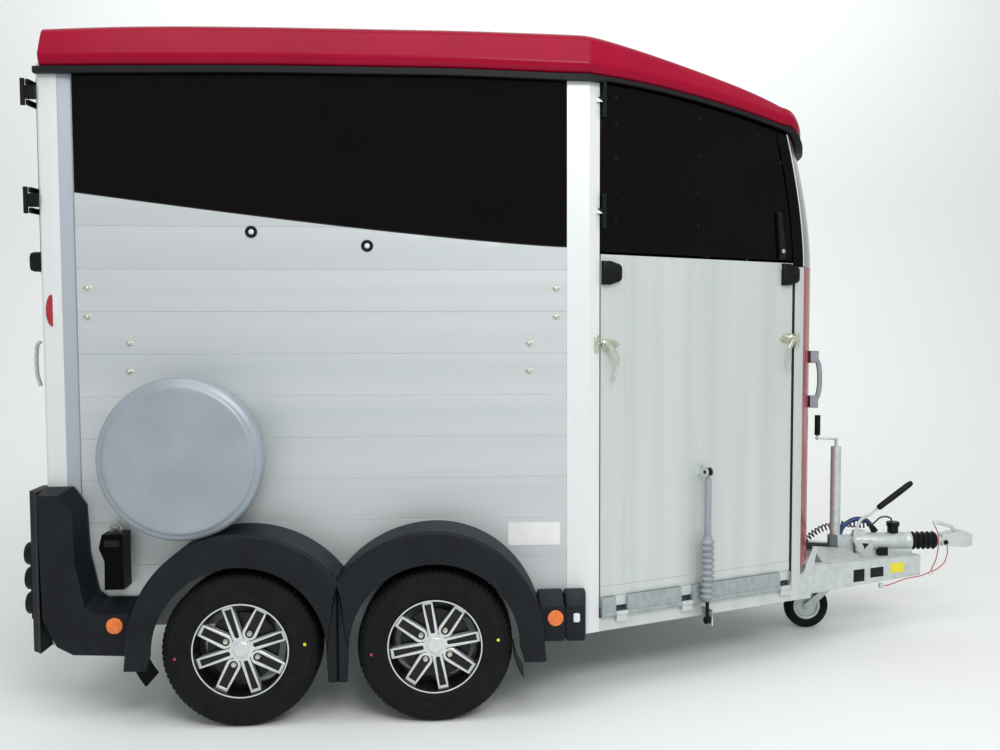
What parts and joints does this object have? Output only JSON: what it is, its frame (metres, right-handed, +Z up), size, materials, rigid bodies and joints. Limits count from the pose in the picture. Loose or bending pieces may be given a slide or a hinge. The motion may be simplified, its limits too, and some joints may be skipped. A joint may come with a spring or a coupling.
{
  "type": "two-horse trailer",
  "caption": "Twin-axle livestock trailer with plank sides, domed roof, side front ramp, rear ramp, top doors, V drawbar, jockey wheel and spare wheel.",
  "frame": {"origin": "on the ground below the middle of the trailer's length and width", "axes": "+X to the front, along the drawbar; +Y to the left-hand side; +Z up"},
  "size_m": [4.055, 2.27, 2.705],
  "materials": {
    "anodised_aluminium": "anodised planks with a fine reeded sheen",
    "galvanised_steel": "hot-dip galvanised, matt",
    "black_gloss_panel": "gloss black",
    "black_moulded_plastic": "moulded, slightly textured",
    "black_rubber": "matt",
    "tyre_rubber": "matt",
    "red_moulded_roof": "gloss gel coat",
    "tinted_window": "tinted",
    "grey_cover": "satin",
    "machined_rim": "machined faces with black pockets",
    "lamp_lens": "gloss",
    "grey_handle": "matt",
    "cable_sheath": "satin",
    "red_coated_cable": "satin"
  },
  "bodies": {
    "chassis": {"chassis_frame": "galvanised_steel", "axle_front": "galvanised_steel", "axle_rear": "galvanised_steel", "drawbar": "galvanised_steel", "floor": "anodised_aluminium", "side_wall_right": "anodised_aluminium", "side_wall_left": "anodised_aluminium", "upper_panel_right": "black_gloss_panel", "upper_panel_left": "black_gloss_panel", "rear_post_right": "anodised_aluminium", "rear_post_left": "anodised_aluminium", "b_post_right": "anodised_aluminium", "b_post_left": "anodised_aluminium", "front_post_right": "anodised_aluminium", "front_post_left": "anodised_aluminium", "front_sill_right": "anodised_aluminium", "front_panel_left": "anodised_aluminium", "roof": "red_moulded_roof", "roof_trim": "black_rubber", "nose_panel": "red_moulded_roof", "nose_window": "tinted_window", "grab_handle_right": "grey_handle", "grab_handle_left": "grey_handle", "mudguard_right": "black_moulded_plastic", "mudguard_left": "black_moulded_plastic", "rear_corner_right": "black_moulded_plastic", "rear_corner_left": "black_moulded_plastic", "rear_lamps_right": "lamp_lens", "rear_lamps_left": "lamp_lens", "spare_wheel_cover": "grey_cover", "wheel_chock": "black_moulded_plastic", "overrun_body": "galvanised_steel", "gaiter": "black_rubber", "coupling_head": "galvanised_steel", "jockey_tube": "galvanised_steel", "electric_cable": "cable_sheath", "cable_lead": "cable_sheath", "electric_plug": "black_moulded_plastic", "breakaway_cable": "red_coated_cable", "breakaway_lanyard": "red_coated_cable", "partition": "black_rubber"},
    "wheel_front_right": {"tyre_front_right": "tyre_rubber", "rim_front_right": "machined_rim"},
    "wheel_front_left": {"tyre_front_left": "tyre_rubber", "rim_front_left": "machined_rim"},
    "wheel_rear_right": {"tyre_rear_right": "tyre_rubber", "rim_rear_right": "machined_rim"},
    "wheel_rear_left": {"tyre_rear_left": "tyre_rubber", "rim_rear_left": "machined_rim"},
    "front_ramp": {"front_ramp": "anodised_aluminium"},
    "strut_tube": {"strut_tube": "galvanised_steel"},
    "strut_rod": {"strut_rod": "galvanised_steel"},
    "front_top_door": {"front_top_door": "black_gloss_panel"},
    "groom_door": {"groom_door": "anodised_aluminium"},
    "rear_ramp": {"rear_ramp": "anodised_aluminium"},
    "rear_door_right": {"rear_door_right": "black_gloss_panel"},
    "rear_door_left": {"rear_door_left": "black_gloss_panel"},
    "jockey_leg": {"jockey_leg": "galvanised_steel"},
    "jockey_fork": {"jockey_fork": "galvanised_steel"},
    "jockey_wheel": {"jockey_wheel": "black_rubber"}
  },
  "joints": [
    {"name": "wheel_front_right", "type": "hinge", "parent": "chassis", "child": "wheel_front_right", "pos_m": [-0.5055, -1.03, 0.286], "axis": [0, 1, 0], "continuous": true},
    {"name": "wheel_front_left", "type": "hinge", "parent": "chassis", "child": "wheel_front_left", "pos_m": [-0.5055, 1.03, 0.286], "axis": [0, 1, 0], "continuous": true},
    {"name": "wheel_rear_right", "type": "hinge", "parent": "chassis", "child": "wheel_rear_right", "pos_m": [-1.2095, -1.03, 0.286], "axis": [0, 1, 0], "continuous": true},
    {"name": "wheel_rear_left", "type": "hinge", "parent": "chassis", "child": "wheel_rear_left", "pos_m": [-1.2095, 1.03, 0.286], "axis": [0, 1, 0], "continuous": true},
    {"name": "front_ramp_hinge", "type": "hinge", "parent": "chassis", "child": "front_ramp", "pos_m": [0.5403, -0.7262, 0.331], "axis": [0.9143, 0.4051, 0], "range_deg": [0, 100]},
    {"name": "strut_hinge", "type": "hinge", "parent": "front_ramp", "child": "strut_tube", "pos_m": [0.58414, -0.74618, 0.8685], "axis": [-0.9143, -0.4051, 0], "range_deg": [0, 6]},
    {"name": "strut_slide", "type": "slide", "parent": "strut_tube", "child": "strut_rod", "axis": [0, 0, 1], "range_m": [0, 0.125]},
    {"name": "front_top_door_hinge", "type": "hinge", "parent": "chassis", "child": "front_top_door", "pos_m": [0.14056, -0.90775, 2.084], "axis": [0, 0, -1], "range_deg": [0, 125]},
    {"name": "groom_door_hinge", "type": "hinge", "parent": "chassis", "child": "groom_door", "pos_m": [0.85835, 0.58748, 1.25], "axis": [0, 0, -1], "range_deg": [0, 110]},
    {"name": "rear_ramp_hinge", "type": "hinge", "parent": "chassis", "child": "rear_ramp", "pos_m": [-1.9538, 0, 0.331], "axis": [0, -1, 0], "range_deg": [0, 100]},
    {"name": "rear_door_right_hinge", "type": "hinge", "parent": "chassis", "child": "rear_door_right", "pos_m": [-1.9875, -0.93, 2.012], "axis": [0, 0, 1], "range_deg": [0, 250]},
    {"name": "rear_door_left_hinge", "type": "hinge", "parent": "chassis", "child": "rear_door_left", "pos_m": [-1.9875, 0.93, 2.012], "axis": [0, 0, -1], "range_deg": [0, 250]},
    {"name": "jockey_slide", "type": "slide", "parent": "chassis", "child": "jockey_leg", "axis": [0, 0, 1], "range_m": [0, 0.08]},
    {"name": "jockey_swivel", "type": "hinge", "parent": "jockey_leg", "child": "jockey_fork", "pos_m": [1.3575, 0, 0.22], "axis": [0, 0, 1], "continuous": true},
    {"name": "jockey_wheel_axle", "type": "hinge", "parent": "jockey_fork", "child": "jockey_wheel", "pos_m": [1.2195, 0, 0.105], "axis": [0, 1, 0], "continuous": true}
  ],
  "couplings": [
    {"joint": "strut_hinge", "follows": "front_ramp_hinge", "ratio": 0.05},
    {"joint": "strut_slide", "follows": "front_ramp_hinge", "m_per_rad": 0.0689}
  ]
}
